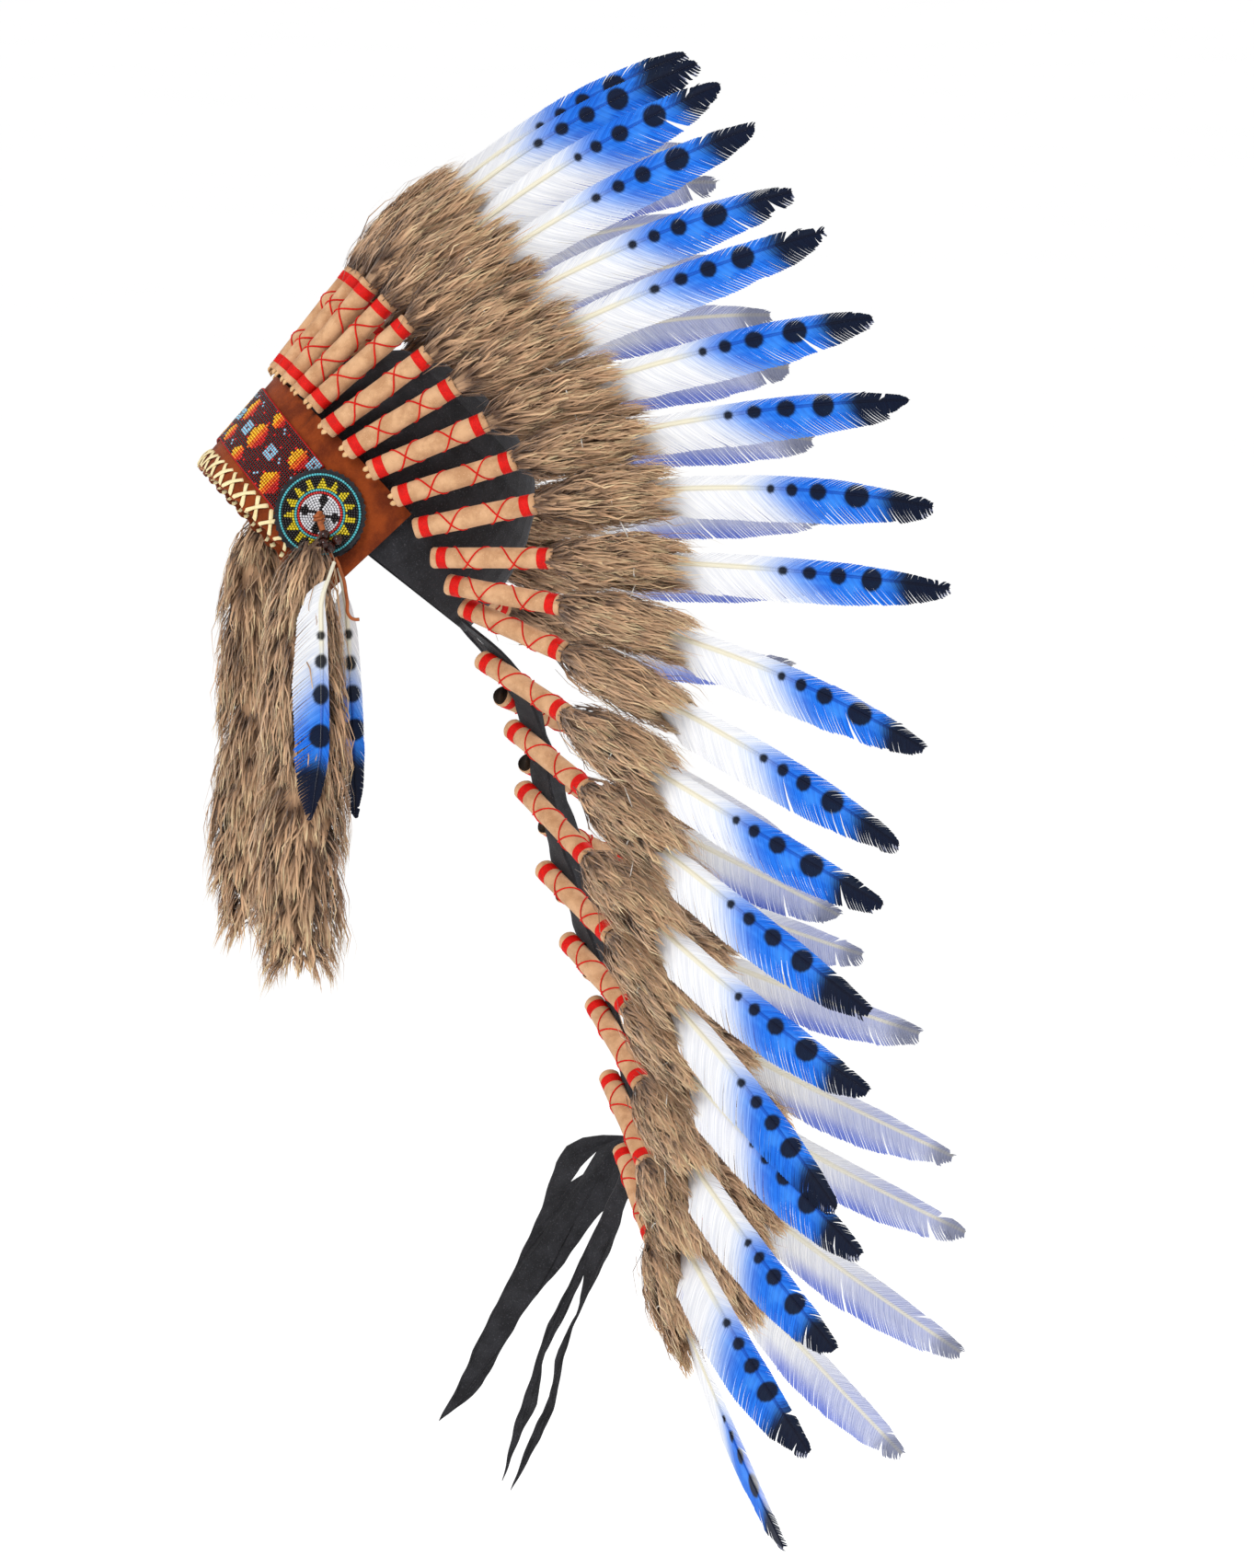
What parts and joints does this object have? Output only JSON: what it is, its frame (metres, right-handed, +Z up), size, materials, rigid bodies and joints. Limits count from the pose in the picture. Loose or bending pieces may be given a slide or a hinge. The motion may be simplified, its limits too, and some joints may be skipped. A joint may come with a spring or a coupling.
{
  "type": "feathered headdress",
  "caption": "Feathered headdress as worn: beaded suede brow band with rosettes on a felt cap, fur-tufted feathers in felt sleeves, feathered felt trails and fur side drops.",
  "frame": {"origin": "middle of the head opening, on the head's own level plane, where the headdress sits on a head", "axes": "+Z up; the wearer looks along -Y and has +X on the left; the head plane is tilted 47.6 degrees, brow end up, as the headdress is shown"},
  "size_m": [0.5667, 0.5698, 1.0129],
  "materials": {
    "felt": "matt charcoal wool felt",
    "suede": "rust-brown suede",
    "beadwork": "opaque glossy seed beads on red thread",
    "rosette_beads": "opaque glossy seed beads sewn flat",
    "feather_unit": "feather vane, fur tuft and felt sleeve",
    "drop_feather": "soft feather vane",
    "fur": "long brown fur",
    "dark_beads": "dark brown, polished",
    "thong": "brown lace leather"
  },
  "bodies": {
    "root": {"skull_cap": "felt", "brow_band": "suede", "bead_strip": "beadwork", "rosette_backing_left": "felt", "rosette_beads_left": "rosette_beads", "rosette_backing_right": "felt", "rosette_beads_right": "rosette_beads", "feather_l01": "feather_unit", "feather_l02": "feather_unit", "feather_l03": "feather_unit", "feather_l04": "feather_unit", "feather_l05": "feather_unit", "feather_l06": "feather_unit", "feather_l07": "feather_unit", "feather_l08": "feather_unit", "feather_l09": "feather_unit", "feather_l10": "feather_unit", "feather_l11": "feather_unit", "feather_l12": "feather_unit", "feather_r01": "feather_unit", "feather_r02": "feather_unit", "feather_r03": "feather_unit", "feather_r04": "feather_unit", "feather_r05": "feather_unit", "feather_r06": "feather_unit", "feather_r07": "feather_unit", "feather_r08": "feather_unit", "feather_r09": "feather_unit", "feather_r10": "feather_unit", "feather_r11": "feather_unit", "feather_r12": "feather_unit", "trail_feather_l1": "feather_unit", "trail_feather_l2": "feather_unit", "trail_feather_l3": "feather_unit", "trail_feather_l4": "feather_unit", "trail_feather_l5": "feather_unit", "trail_feather_l6": "feather_unit", "trail_feather_l7": "feather_unit", "trail_feather_l8": "feather_unit", "trail_feather_r1": "feather_unit", "trail_feather_r2": "feather_unit", "trail_feather_r3": "feather_unit", "trail_feather_r4": "feather_unit", "trail_feather_r5": "feather_unit", "trail_feather_r6": "feather_unit", "trail_feather_r7": "feather_unit", "trail_feather_r8": "feather_unit", "trail_left": "felt", "drop_fur_left": "fur", "drop_feather_front_left": "drop_feather", "drop_feather_back_left": "drop_feather", "drop_beads_left": "dark_beads", "tie_left": "felt", "trail_right": "felt", "drop_fur_right": "fur", "drop_feather_front_right": "drop_feather", "drop_feather_back_right": "drop_feather", "drop_beads_right": "dark_beads", "tie_right": "felt", "thong_tail": "thong"}
  },
  "joints": []
}
